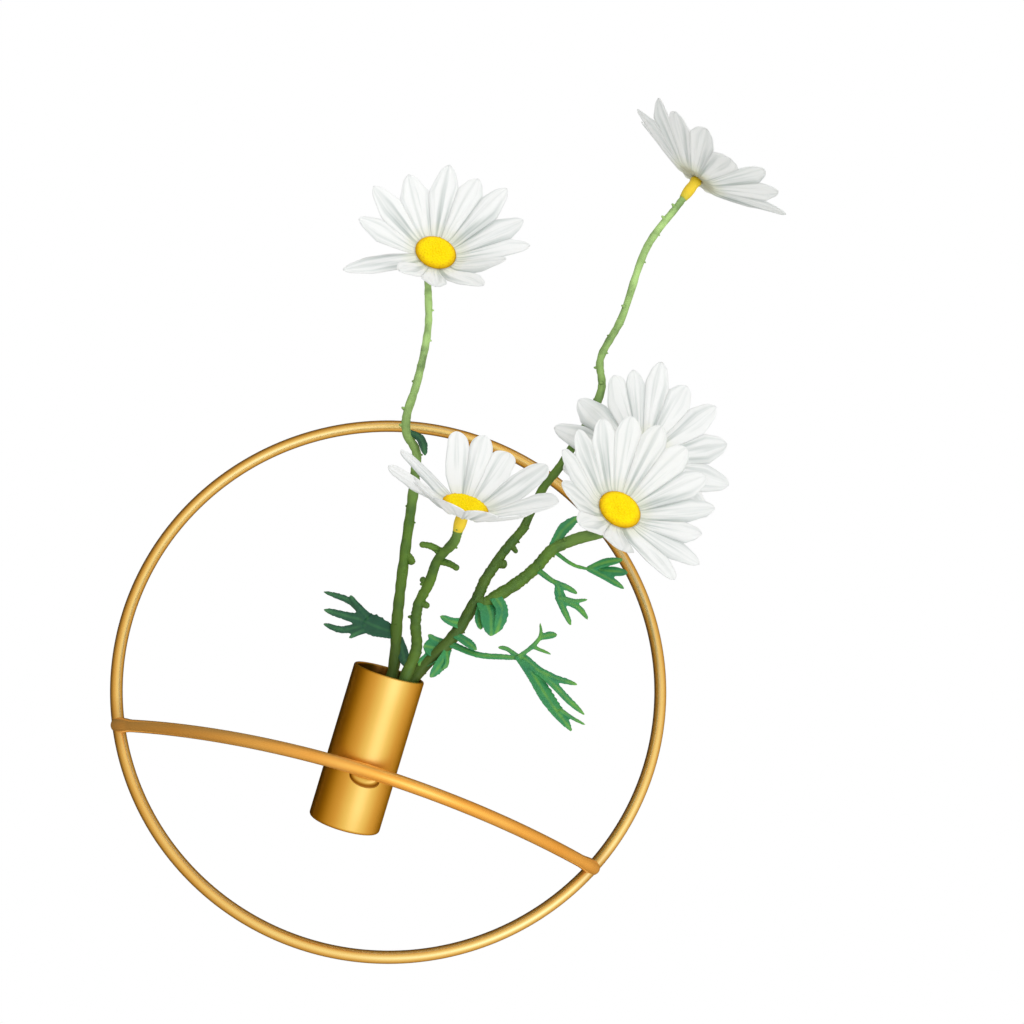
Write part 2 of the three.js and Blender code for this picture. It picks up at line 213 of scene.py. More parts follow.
def add_bar(tree, curve, sides):
    """A round bar along a curve, with closed ends. Returns it and the radius stored at the curve's points."""
    section = add(tree, "GeometryNodeCurvePrimitiveCircle", {"Resolution": sides, "Radius": 1.0})
    stored = add(tree, "GeometryNodeInputNamedAttribute", {"Name": "radius"}, data_type="FLOAT")
    radius = stored.outputs["Attribute"]
    bar = add(tree, "GeometryNodeCurveToMesh", {
        "Curve": curve, "Profile Curve": section.outputs["Curve"], "Scale": radius, "Fill Caps": True,
    })
    return bar.outputs["Mesh"], radius


def end_tree(tree, geometry, finish):
    """Ends a tree: what it made becomes one real mesh, smooth and of one material."""
    whole = add(tree, "GeometryNodeRealizeInstances", {"Geometry": geometry})
    whole = add(tree, "GeometryNodeSetShadeSmooth", {"Geometry": whole.outputs["Geometry"]})
    whole = add(tree, "GeometryNodeSetMaterial", {"Geometry": whole.outputs["Geometry"], "Material": finish})
    add(tree, "NodeGroupOutput", {"Geometry": whole.outputs["Geometry"]})


# A round bar along a path of points, each with its own radius.
wire_tree, given = new_tree("round_bar_on_a_path", Sides="NodeSocketInt", Finish="NodeSocketMaterial")
path = add(wire_tree, "GeometryNodeMeshToCurve", {"Mesh": given["Geometry"]}).outputs["Curve"]
bar, _ = add_bar(wire_tree, path, given["Sides"])
end_tree(wire_tree, bar, given["Finish"])


def path_piece(name, routes, closed=False):
    """A host for a tree that follows paths: each route is a list of (point, radius)."""
    points = []
    edges = []
    radii = []
    for route in routes:
        first = len(points)
        points += [point for point, _ in route]
        radii += [radius for _, radius in route]
        edges += [(at, at + 1) for at in range(first, len(points) - 1)]
        if closed:
            edges.append((len(points) - 1, first))
    piece = new_piece(name, points, edges)
    mark(piece, "radius", radii)
    return piece


low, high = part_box("ring")
ring_centre = (low + high) / 2
ring_radius = (high.x - low.x) / 2 - WIRE_RADIUS
route = []
for step in range(RING_STEPS):
    angle = 2 * math.pi * step / RING_STEPS
    spoke = Vector((math.cos(angle), 0, math.sin(angle)))
    route.append((ring_centre + ring_radius * spoke, WIRE_RADIUS))
ring = path_piece("gold_ring", [route], closed=True)
grow(ring, wire_tree, Sides=WIRE_SIDES, Finish=wire_gold_painted_highlight)
join(ring, "holder", "ring")

# Cross bar
# The same wire, bowed out from the wall in a level plane. Its ends meet the ring's wire and are brazed to
# it; each joint is a smooth bead that stands a little proud of the ring's outside.
BAR_STEPS = 160
JOINT_REACH = 11 * MM
JOINT_BROWN = 0.4
BEAD_RADIUS = 2.75 * MM
BEAD_LENGTH = 5 * MM
BEAD_STEPS = 8
BEAD_TIP = 0.02 * MM


def mark_joints(piece, centres):
    """Stores how brown each point is from a joint near it: most at the joint and none at its reach."""
    away = [min((vertex.co - centre).length for centre in centres) for vertex in piece.data.vertices]
    mark(piece, "brown", [JOINT_BROWN * max(0, 1 - gap / JOINT_REACH) for gap in away])


# On the bar the lacquer is a warmer copy, part diffuse and part metal, so that it stays a warm orange where
# the room seen in it is dark: painted light. It keeps a narrow bright line.
bar_gold_painted_light = gold_lacquer("gold_lacquer_on_bar_painted_light", "#FFB852", "#FFD07C", 0.68, 0.2)
low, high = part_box("cross_bar")
bar_z = (low.z + high.z) / 2
bar_drop = ring_centre.z - bar_z
half_span = math.sqrt(ring_radius ** 2 - bar_drop ** 2)
bar_ends = [Vector((side * half_span, ring_centre.y, bar_z)) for side in (-1, 1)]
bow = ring_centre.y - (low.y + WIRE_RADIUS)
route = []
for step in range(BAR_STEPS + 1):
    across = 2 * step / BAR_STEPS - 1
    to_end = half_span * (1 - abs(across))
    swell = (BEAD_RADIUS - WIRE_RADIUS) * math.sin(0.5 * math.pi * max(0, 1 - to_end / BEAD_LENGTH))
    point = Vector((half_span * across, ring_centre.y - bow * (1 - across ** 2) - swell, bar_z))
    route.append((point, WIRE_RADIUS + swell))
outward = (route[-1][0] - route[-2][0]).normalized()
for side, end in zip((-1, 1), (0, -1)):
    push = Vector((side * outward.x, outward.y, 0))
    cap = []
    for step in range(1, BEAD_STEPS + 1):
        angle = 0.5 * math.pi * step / BEAD_STEPS
        reach = BEAD_RADIUS * math.sin(angle)
        cap.append((route[end][0] + reach * push, max(BEAD_RADIUS * math.cos(angle), BEAD_TIP)))
    if side > 0:
        route += cap
    else:
        route = cap[::-1] + route
cross_bar = path_piece("gold_cross_bar", [route])
grow(cross_bar, wire_tree, Sides=WIRE_SIDES, Finish=bar_gold_painted_light)
mark_joints(cross_bar, bar_ends)
mark_joints(ring, bar_ends)
join(cross_bar, "holder", "cross_bar")

# Cup
# A length of steel tube, its cut ends rounded over, with a flat disc brazed in to close the bottom.
# It leans towards the room, so that the flowers stand clear of the wall.
CUP_RADIUS = 12.25 * MM
CUP_LENGTH = 53.5 * MM
CUP_WALL = 1.2 * MM
CUP_LEAN = math.radians(21.3)
CUP_SEGMENTS = 96
CUP_ROWS = 6
RIM_ROUND = 0.6 * MM
FOOT_ROUND = 1.1 * MM
BORE_PAINTED_SHADE = 0.9
BORE_EDGE = 0.1 * MM
BASE_THICKNESS = 1.5 * MM
BASE_INSET = 0.3 * MM
BASE_ROUND = 0.4 * MM
BASE_SHARP = math.radians(50)


def arc(centre, radius, start, end, steps=6):
    """Points of an arc in a profile, from one angle in degrees to another."""
    turns = [math.radians(start + (end - start) * step / steps) for step in range(steps + 1)]
    return [(centre[0] + radius * math.cos(turn), centre[1] + radius * math.sin(turn)) for turn in turns]


def spun(name, profile, segments, matrix):
    """A solid of revolution. Its profile runs anticlockwise, radius then height, and is closed.

    A profile that starts and ends on the axis shares its end points.
    """
    rings = []
    points = []
    for radius, height in profile:
        if radius == 0:
            rings.append([len(points)] * segments)
            points.append(Vector((0, 0, height)))
            continue
        rings.append(range(len(points), len(points) + segments))
        for segment in range(segments):
            angle = 2 * math.pi * segment / segments
            points.append(Vector((radius * math.cos(angle), radius * math.sin(angle), height)))
    faces = []
    hollow = profile[0][0] > 0
    for at in range(len(rings) if hollow else len(rings) - 1):
        inner = rings[at]
        outer = rings[(at + 1) % len(rings)]
        for segment in range(segments):
            beside = (segment + 1) % segments
            corners = [inner[segment], inner[beside], outer[beside], outer[segment]]
            faces.append(list(dict.fromkeys(corners)))
    piece = new_piece(name, [matrix @ point for point in points], (), faces)
    piece.data.shade_smooth()
    return piece


# On the tube the lacquer is a satin, which draws the light out into a broad band.
tube_gold = gold_lacquer("gold_lacquer_on_tube", "#F0C874", "#F9D488", 1.0, 0.31)
low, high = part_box("cup_tube")
cup_frame = Matrix.Translation((low + high) / 2) @ Matrix.Rotation(CUP_LEAN, 4, "X")
foot = -CUP_LENGTH / 2
bore = CUP_RADIUS - CUP_WALL
profile = [(bore, foot), (CUP_RADIUS - FOOT_ROUND, foot)]
profile += arc((CUP_RADIUS - FOOT_ROUND, foot + FOOT_ROUND), FOOT_ROUND, -75, 0)
profile += [(CUP_RADIUS, foot + CUP_LENGTH * row / CUP_ROWS) for row in range(1, CUP_ROWS)]
profile += arc((CUP_RADIUS - RIM_ROUND, -foot - RIM_ROUND), RIM_ROUND, 0, 180, 10)
profile += [(bore, -foot - CUP_LENGTH * row / CUP_ROWS) for row in range(1, CUP_ROWS)]
cup = spun("gold_cup", profile, CUP_SEGMENTS, cup_frame)
base_radius = bore - BASE_INSET
profile = [(0, foot), (base_radius - BASE_ROUND, foot)]
profile += arc((base_radius - BASE_ROUND, foot + BASE_ROUND), BASE_ROUND, -75, 0, 4)
profile += [(base_radius, foot + BASE_THICKNESS), (0, foot + BASE_THICKNESS)]
cup_base = spun("gold_cup_base", profile, CUP_SEGMENTS, cup_frame)
cup_base.data.set_sharp_from_angle(angle=BASE_SHARP)
inverse = cup_frame.inverted()
places = [inverse @ vertex.co for vertex in cup.data.vertices]
inside = [place.xy.length < bore + BORE_EDGE and place.z > foot for place in places]
# The bore is painted brown: painted shade inside the cup.
mark(cup, "brown", [BORE_PAINTED_SHADE * within for within in inside])
for piece, cad_node in ((cup, "cup_tube"), (cup_base, "cup_base")):
    piece.data.materials.append(tube_gold)
    join(piece, "holder", cad_node)

# Mount stud
# A short oval boss of steel between the bar's back and the cup, rounded in front and coped to the cup.
# A brown is painted round its side and rim, darkest at its outline: painted shadow where it meets the cup.
STUD_HALF_WIDTH = 5.2 * MM
STUD_HALF_HEIGHT = 3.2 * MM
STUD_DROP = 1.2 * MM
STUD_BITE = 0.3 * MM
STUD_SEGMENTS = 64
STUD_PAINTED_SHADOW = 0.85
STUD_SHADOW_FALL = 5
low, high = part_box("mount_stud")
stud_front = low.y
stud_x = (low.x + high.x) / 2
cup_centre = cup_frame.translation
# The boss is spun with a radius and a length of 1, then drawn to its oval and to the cup's skin.
profile = [(0, 0), (0.5, 0), (0.72, 0.03), (0.88, 0.12), (0.97, 0.3), (1, 0.5), (1, 1), (0, 1)]
stud = spun("gold_mount_stud", profile, STUD_SEGMENTS, Matrix.Identity(4))
# Painted shadow: brown that rises towards the boss's outline.
mark(stud, "brown", [STUD_PAINTED_SHADOW * vertex.co.xy.length ** STUD_SHADOW_FALL for vertex in stud.data.vertices])
for vertex in stud.data.vertices:
    across, rise, share = vertex.co
    x = stud_x - STUD_HALF_WIDTH * across
    z = bar_z - STUD_DROP + STUD_HALF_HEIGHT * rise
    skin = -math.sqrt((CUP_RADIUS - STUD_BITE) ** 2 - x ** 2)
    stud_back = cup_centre.y + (skin - math.sin(CUP_LEAN) * (z - cup_centre.z)) / math.cos(CUP_LEAN)
    vertex.co = (x, stud_front + share * (stud_back - stud_front), z)
stud.data.materials.append(tube_gold)
join(stud, "holder", "mount_stud")

# Hanger tab
# A small plate with a keyhole for a wall screw, pressed from steel strip and lacquered with the frame.
# It is brazed inside the ring's top, flush with the wall. The CAD solid is plain enough to show as it is.
hanger_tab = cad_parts["hanger_tab"]
hanger_tab.data.materials.clear()
hanger_tab.data.materials.append(tube_gold)

# Stems
# Soft green plastic moulded over a wire core. They are thickest and most olive in the cup, thin out and pale
# towards the heads, and carry small nubs and a few stub twigs where leaves were left off.
BORE_CLEARANCE = 0.8 * MM
STEM_IN_CUP = 1.8 * MM
FLOOR_SPREAD = 5.5 * MM
FLOOR_GAP = 0.3 * MM
NECK_LENGTH = 3.3 * MM
SLEEVE_LENGTH = 8.5 * MM
SLEEVE_GRIP = 1.5 * MM
STEM_SIDES = 18
CURVE_STEPS = 10
NUB_SPACING = 6 * MM
NUB_SIZE = 1.2 * MM
NUB_INSET = 0.7
BARE_STEPS = 2 * CURVE_STEPS
UNEVEN = 0.09
UNEVEN_SEED = 0
ROUND_END = 0.02
BACK_BRANCH_AT = 0.31
cup_axis = cup_frame.to_3x3() @ Vector((0, 0, 1))
cup_back = cup_frame.to_3x3() @ Vector((0, 1, 0))
mouth = cup_frame @ Vector((0, 0, CUP_LENGTH / 2))


def offset(point):
    """A point given in millimetres from the middle of the cup's mouth."""
    return mouth + MM * Vector(point)


def in_cup(angle):
    """The stretch of a stem inside the cup: foot, middle and rim. The angle turns from +x to the wall."""
    turn = math.radians(angle)
    around = math.cos(turn) * Vector((1, 0, 0)) + math.sin(turn) * cup_back
    depth = CUP_LENGTH - BASE_THICKNESS
    rim = bore - STEM_IN_CUP - BORE_CLEARANCE
    tilt = (rim - FLOOR_SPREAD) / depth
    rise = FLOOR_GAP + STEM_IN_CUP * tilt
    start = mouth + (FLOOR_SPREAD + tilt * rise) * around + (rise - depth) * cup_axis
    end = mouth + rim * around
    return [start, (start + end) / 2, end]


def smooth(points, steps=CURVE_STEPS):
    """A centripetal Catmull-Rom curve through points, with so many steps from one to the next."""
    ends = [2 * points[0] - points[1]] + points + [2 * points[-1] - points[-2]]
    curve = []
    for before, start, end, after in zip(ends, ends[1:], ends[2:], ends[3:]):
        spans = ((before, start), (start, end), (end, after))
        gap0, gap1, gap2 = (math.sqrt((b - a).length) for a, b in spans)
        leave = (start - before) / gap0 - (end - before) / (gap0 + gap1) + (end - start) / gap1
        arrive = (end - start) / gap1 - (after - start) / (gap1 + gap2) + (after - end) / gap2
        leave *= gap1
        arrive *= gap1
        for step in range(steps):
            t = step / steps
            bend = (2 * t ** 3 - 3 * t ** 2 + 1) * start + (t ** 3 - 2 * t ** 2 + t) * leave
            curve.append(bend + (3 * t ** 2 - 2 * t ** 3) * end + (t ** 3 - t ** 2) * arrive)
    return curve + [points[-1]]


def tapered(points, thick, thin):
    """A smooth route whose radius goes from thick to thin, in millimetres, and is a little uneven."""
    curve = smooth(points)
    chance = random.Random(UNEVEN_SEED)
    route = []
    for at, point in enumerate(curve):
        radius = thick + (thin - thick) * at / (len(curve) - 1)
        route.append((point, MM * radius * chance.uniform(1 - UNEVEN, 1 + UNEVEN)))
    return route


def twigs(thick, thin, *lines):
    """Short stubs on a stem with rounded ends, each given by points in millimetres from the mouth."""
    stubs = []
    for line in lines:
        route = tapered([offset(point) for point in line], thick, thin)
        tip, ball = route[-1]
        stub = []
        for point, radius in route:
            to_tip = min(1, (point - tip).length / ball)
            stub.append((point, radius * math.sqrt(max(1 - (1 - to_tip) ** 2, ROUND_END))))
        stubs.append(stub)
    return stubs


def neck(head):
    """The last two points of a stem, in line with the head's sleeve, which grips its end."""
    centre, facing = head
    return [centre - (SLEEVE_LENGTH + NECK_LENGTH) * facing, centre - (SLEEVE_LENGTH - SLEEVE_GRIP) * facing]


def ramp(tree, share, *stops):
    """A colour from a row of stops, each (position, hex colour)."""
    row = add(tree, "ShaderNodeValToRGB", {"Fac": share})
    elements = row.color_ramp.elements
    for at, (position, colour) in enumerate(stops):
        stop = elements[0] if at == 0 else elements.new(position)
        stop.position = position
        stop.color = linear(colour)
    elements.remove(elements[-1])
    return row.outputs["Color"]


def calc(tree, operation, *values):
    """Arithmetic on one or two values."""
    return add(tree, "ShaderNodeMath", dict(enumerate(values)), operation=operation).outputs["Value"]


# Soft polyethylene, moulded: a waxy half gloss and a mottled green, olive low down and pale near the heads.
stem_green, tree = new_material("green_polyethylene_stem")
tone = ramp(tree, marked(tree, "along"), (0.15, "#3F591B"), (0.5, "#557C25"), (0.85, "#B2D886"))
tone = mix(tree, remap(tree, noise(tree, 6 * MM, 4), 0.42, 0.72, 0, 0.6), tone, "#1E4A28")
grain = noise(tree, 0.8 * MM, 3)
end_material(tree, tone, remap(tree, grain, 0, 1, 0.4, 0.6), {
    "IOR": 1.5, "Normal": bump(tree, grain, 0.35, 0.12 * MM),
})

# A stem: a round bar on its path, with nubs scattered on its side where the path is marked as nubbed.
# A nub is a blunt cone of eight sides, sunk into the bar.
stem_tree, given = new_tree("stem_with_nubs", Spacing="NodeSocketFloat", Nub="NodeSocketFloat",
                            Seed="NodeSocketInt", Sides="NodeSocketInt", Finish="NodeSocketMaterial")
path = add(stem_tree, "GeometryNodeMeshToCurve", {"Mesh": given["Geometry"]}).outputs["Curve"]
shaft, radius = add_bar(stem_tree, path, given["Sides"])
spots = add(stem_tree, "GeometryNodeResampleCurve", {
    "Curve": path, "Length": given["Spacing"],
}, mode="LENGTH")
chance = add(stem_tree, "FunctionNodeRandomValue", {
    "Max": 2 * math.pi, "Seed": given["Seed"],
}, data_type="FLOAT")
side = add(stem_tree, "ShaderNodeVectorRotate", {
    "Vector": add(stem_tree, "GeometryNodeInputNormal").outputs["Normal"],
    "Axis": add(stem_tree, "GeometryNodeInputTangent").outputs["Tangent"],
    "Angle": chance.outputs["Value"],
})
shift = add(stem_tree, "ShaderNodeVectorMath", {
    0: side.outputs["Vector"], "Scale": radius,
}, operation="SCALE")
inset = add(stem_tree, "ShaderNodeVectorMath", {
    0: shift.outputs["Vector"], "Scale": NUB_INSET,
}, operation="SCALE")
spots = add(stem_tree, "GeometryNodeSetPosition", {
    "Geometry": spots.outputs["Curve"], "Offset": inset.outputs["Vector"],
})
cone = add(stem_tree, "GeometryNodeMeshCone", {
    "Vertices": 8, "Radius Top": 0.3, "Radius Bottom": 0.75, "Depth": 1.3,
})
turn = add(stem_tree, "FunctionNodeAlignRotationToVector", {"Vector": side.outputs["Vector"]}, axis="Z")
size = add(stem_tree, "FunctionNodeRandomValue", {"Min": 0.5, "Seed": given["Seed"]}, data_type="FLOAT")
size = calc(stem_tree, "MULTIPLY", size.outputs["Value"], given["Nub"])
nubbed = add(stem_tree, "GeometryNodeInputNamedAttribute", {"Name": "nubbed"}, data_type="BOOLEAN")
nubs = add(stem_tree, "GeometryNodeInstanceOnPoints", {
    "Points": spots.outputs["Geometry"], "Instance": cone.outputs["Mesh"],
    "Selection": nubbed.outputs["Attribute"],
    "Rotation": turn.outputs["Rotation"], "Scale": size,
})
whole = add(stem_tree, "GeometryNodeJoinGeometry", {"Geometry": nubs.outputs["Instances"]})
stem_tree.links.new(shaft, whole.inputs["Geometry"])
end_tree(stem_tree, whole.outputs["Geometry"], given["Finish"])


def stem(name, body, cad_node, routes, seed, low, high):
    """A stem with its stub twigs, in place of a CAD stem. Its tone runs from low to high on the ramp.

    A twig has the stem's tone at its root. The stretch in the cup or at a joint has no nubs.
    """
    piece = path_piece(name, routes)
    main = [point for point, _ in routes[0]]
    reach = [0]
    for start, end in zip(main, main[1:]):
        reach.append(reach[-1] + (end - start).length)
    tones = [low + (high - low) * far / reach[-1] for far in reach]
    for twig in routes[1:]:
        root = min(range(len(main)), key=lambda at: (main[at] - twig[0][0]).length)
        tones += [tones[root]] * len(twig)
    mark(piece, "along", tones)
    nubbed = [BARE_STEPS <= at < len(main) for at in range(len(piece.data.vertices))]
    mark(piece, "nubbed", nubbed, "BOOLEAN")
    grow(piece, stem_tree, Spacing=NUB_SPACING, Nub=NUB_SIZE, Seed=seed, Sides=STEM_SIDES,
         Finish=stem_green)
    join(piece, body, cad_node)


# A head is where its petals meet, in millimetres from the mouth, and the way that it faces.
HEADS = {
    "left": ((-29.5, -11.5, 150.5), (0.09, -0.97, 0.24)),
    "front": ((9, -49.5, 45.8), (0.02, -0.69, 0.73)),
    "tall": ((54, -26, 203.5), (0.34, -0.33, 0.88)),
    "middle": ((58.5, -23.5, 70.5), (0.15, -0.93, 0.33)),
    "back": ((64, 2, 103), (0, -1, 0)),
}
heads = {name: (offset(centre), Vector(facing).normalized()) for name, (centre, facing) in HEADS.items()}

left_route = in_cup(85) + [offset(point) for point in (
    (-3, 5, 19), (-7, 3, 40), (-11.2, 1, 65), (-12.8, 0.4, 73), (-14.6, 0, 79.4), (-19.6, -0.6, 84.6),
    (-21.6, -0.6, 90.5), (-22, 0, 105), (-25, 4, 130),
)] + neck(heads["left"])
left_routes = [tapered(left_route, 2.1, 1.25)]
left_routes += twigs(1.5, 1.3, [(-6.8, 3, 42.5), (-5, 2.7, 41.2), (-3.6, 2.6, 39.6)])
stem("left_spray_stem", "left_spray", "left_stem", left_routes, 3, 0.0, 1.0)

front_route = in_cup(-48) + [offset(point) for point in (
    (6.6, -10.5, 7.5), (4, -17.5, 14), (3.2, -22, 19.5), (4.6, -27.5, 25.5), (5.2, -34, 32),
)] + neck(heads["front"])
front_routes = [tapered(front_route, 2.0, 1.5)]
front_routes += twigs(
    1.3, 0.9,
    [(5.4, -35, 34.6), (1.7, -36.5, 34.9), (-1.9, -37, 34.2)],
    [(5.4, -33, 32), (9.2, -34, 31.8), (12.7, -35, 30.6)],
    [(4.4, -26.8, 25), (2.6, -27, 26), (1.4, -27, 26.6)],
    [(3.4, -22.4, 20), (5.6, -23, 19.4), (6.9, -23, 19.2)],
)
stem("front_spray_stem", "front_spray", "front_stem", front_routes, 8, 0.15, 0.55)

right_route = in_cup(12) + [offset(point) for point in (
    (16.5, -2, 16), (21, -4, 32), (21.9, -5, 39.2), (23.8, -5.5, 45.7), (25, -5.8, 50), (27.4, -6.2, 55.8),
    (30, -6.5, 62),
)]
right_routes = [tapered(right_route, 2.4, 1.5)]
right_routes += twigs(1.5, 1.7, [(23.4, -5.6, 45.4), (25.4, -6.1, 46.2), (27.7, -6.2, 46.5)])
right_routes += twigs(1.7, 0.6, [(26, -6, 53.8), (27.8, -6.2, 53.2), (29.8, -6.3, 51.6)])
stem("right_spray_stem", "right_spray", "right_stem", right_routes, 5, 0.1, 0.35)

# The tall branch starts just short of the right stem's end, so that the two overlap.
tall_route = [smooth(right_route)[-3]] + [offset(point) for point in (
    (32, -6, 77), (36, -4, 89), (42.5, -1, 123), (39, -4, 133), (42, -10, 148), (43.5, -19, 175),
)] + neck(heads["tall"])
stem("tall_branch_stem", "right_spray", "tall_branch", [tapered(tall_route, 1.5, 1.3)], 12, 0.35, 1.0)
tall_curve = smooth(tall_route)

middle_route = [offset(point) for point in (
    (21, -4, 32), (24, -4.4, 31.5), (28, -4.5, 36), (33, -4.8, 42), (37.6, -5, 49.2), (41, -5.5, 56.4),
    (47.4, -7.2, 62),
)] + neck(heads["middle"])
stem("middle_branch_stem", "right_spray", "middle_branch", [tapered(middle_route, 2.2, 1.9)], 21, 0.4, 0.6)

back_route = [tall_curve[int(BACK_BRANCH_AT * len(tall_curve))]] + [offset(point) for point in (
    (46, 8, 104), (56, 15.5, 103),
)] + neck(heads["back"])
stem("back_branch_stem", "right_spray", "back_branch", [tapered(back_route, 1.4, 1.3)], 17, 0.55, 0.8)

# Sleeves
# A collar under each head, moulded in golden plastic and a little bulged. It is pushed over the stem's end,
# and the peg on its top carries the petals and the disc.
SLEEVE_FOOT = 1.5 * MM
SLEEVE_BELLY = 2.05 * MM
SLEEVE_NECK = 1.75 * MM
SLEEVE_FLARE = 2.3 * MM
SLEEVE_SEGMENTS = 32
SLEEVE_ROWS = 10
BULGE_SHARE = 0.8
FLARE_DROP = 0.4 * MM
PEG_DROP = 0.3 * MM
PEG_RISE = 0.9 * MM
BODY_OF_HEAD = {
    "left": "left_spray", "front": "front_spray", "tall": "right_spray", "middle": "right_spray",
    "back": "right_spray",
}

# Golden polyethylene, moulded: warm yellow, greener towards the stem, with a soft gloss.
sleeve_yellow, tree = new_material("golden_polyethylene")
mottle = noise(tree, 2.5 * MM, 3)
tone = ramp(tree, marked(tree, "along"), (0, "#A8AC2E"), (0.35, "#EFC81C"))
end_material(tree, mix(tree, mottle, tone, "#F8DC3C"), 0.45, {
    "IOR": 1.5, "Normal": bump(tree, mottle, 0.2, 0.1 * MM),
})


def head_frame(name):
    """A matrix from a head's own axes, its petals round z, to the part's frame."""
    centre, facing = heads[name]
    return Matrix.Translation(centre) @ Vector((0, 0, 1)).rotation_difference(facing).to_matrix().to_4x4()


profile = [(0, -SLEEVE_LENGTH), (SLEEVE_FOOT, -SLEEVE_LENGTH)]
for row in range(1, SLEEVE_ROWS):
    share = row / SLEEVE_ROWS
    width = SLEEVE_FOOT + (SLEEVE_NECK - SLEEVE_FOOT) * share
    width += (SLEEVE_BELLY - (SLEEVE_FOOT + SLEEVE_NECK) / 2) * math.sin(math.pi * share)
    profile.append((width, -SLEEVE_LENGTH * (1 - BULGE_SHARE * share)))
profile += [(SLEEVE_FLARE, -FLARE_DROP), (SLEEVE_NECK, -PEG_DROP), (SLEEVE_NECK, PEG_RISE), (0, PEG_RISE)]
for name, body in BODY_OF_HEAD.items():
    sleeve = spun(name + "_gold_sleeve", profile, SLEEVE_SEGMENTS, head_frame(name))
    inverse = head_frame(name).inverted()
    heights = [1 + (inverse @ vertex.co).z / SLEEVE_LENGTH for vertex in sleeve.data.vertices]
    mark(sleeve, "along", heights)
    sleeve.data.materials.append(sleeve_yellow)
    join(sleeve, body, name + "_sleeve")

# Petals
# White polyester cloth, die cut as one star and heat stamped: the petals are creased lengthwise and touch
# each other for most of their length. The sleeve's peg holds the star under the disc.
PETAL_THICKNESS = 0.32 * MM
PETAL_HOLE = 1.9 * MM
PETAL_SEAT = 0.5 * MM
FLAT_REACH = 5.5 * MM
BEND_REACH = 5 * MM
FOLDS = 3
FOLD_RISE = 1.6
FOLD_FADE = 0.6
CREASE = 0.22 * MM
CREASE_SPREAD = (0.3, 1.2)
SAG = 0.7 * MM
DROOP_DEGREES = (1, 7)
LOOSE_DEGREES = 18
BLUNT_START = 0.7
BLUNT_TIP = 0.001
ROWS = 30
COLUMNS = 14

# Stiffened polyester satin: matte white with a little light through it, a weave about 0.35 mm across that is
# drawn at 0.7 mm to show, soft grey streaks along the petals as painted shade, deepest towards the root, and
# a green-yellow blush at the root.
petal_white, tree = new_material("stamped_white_polyester")
grid = add(tree, "ShaderNodeUVMap", uv_map="petal").outputs["UV"]
along = add(tree, "ShaderNodeSeparateXYZ", {"Vector": grid}).outputs["Y"]
drawn_out = add(tree, "ShaderNodeVectorMath", {0: grid, 1: (4.5, 0.9, 1)}, operation="MULTIPLY")
# Painted shade: grey streaks drawn out along each petal, strongest near the root.
painted_shade_streak = noise(tree, 1, 2, drawn_out.outputs["Vector"])
deepest_painted_shade = remap(tree, along, 0.25, 0.85, 1, 0.35)
cloth = mix(tree, remap(tree, painted_shade_streak, 0.46, 0.68, 0, deepest_painted_shade), "#F8F9F9", "#C2CBC9")
cloth = mix(tree, remap(tree, along, 0.1, 0.36, 0.6, 0), cloth, "#E6E9CC")
surface = add(tree, "ShaderNodeBsdfPrincipled", {
    "Base Color": cloth, "Roughness": 0.75, "IOR": 1.45, "Sheen Weight": 0.15,
    "Normal": bump(tree, noise(tree, 0.7 * MM, 1), 0.2, 0.05 * MM),
})
glow = add(tree, "ShaderNodeBsdfTranslucent", {"Color": cloth})
mixed = add(tree, "ShaderNodeMixShader", {
    "Fac": 0.42, 1: surface.outputs["BSDF"], 2: glow.outputs["BSDF"],
})
add(tree, "ShaderNodeOutputMaterial", {"Surface": mixed.outputs["Shader"]})

# Rows lie closer together towards a petal's tip, where its outline turns.
row_shares = [math.sin(0.5 * math.pi * row / ROWS) for row in range(ROWS + 1)]


def petal_line(length, lift, droop):
    """The way out along a petal, as (distance from the axis, height, slope) for each row."""
    reach = PETAL_HOLE
    height = PETAL_SEAT
    line = []
    for share, after in zip(row_shares, row_shares[1:] + [1]):
        bend = min(max((reach - FLAT_REACH) / BEND_REACH, 0), 1)
        slope = lift * bend * bend * (3 - 2 * bend) - droop * share ** 2
        line.append((reach, height, slope))
        step = (length - PETAL_HOLE) * (after - share)
        reach += step * math.cos(slope)
        height += step * math.sin(slope)
    return line


def outline(share, shoulder, narrowing):
    """A petal's width as a share of its widest: it narrows evenly past the shoulder and ends blunt."""
    past = max(0, (share - shoulder) / (1 - shoulder))
    tip = max(0, (past - BLUNT_START) / (1 - BLUNT_START))
    return (1 - narrowing * past) * math.sqrt(max(1 - tip ** 2, BLUNT_TIP))


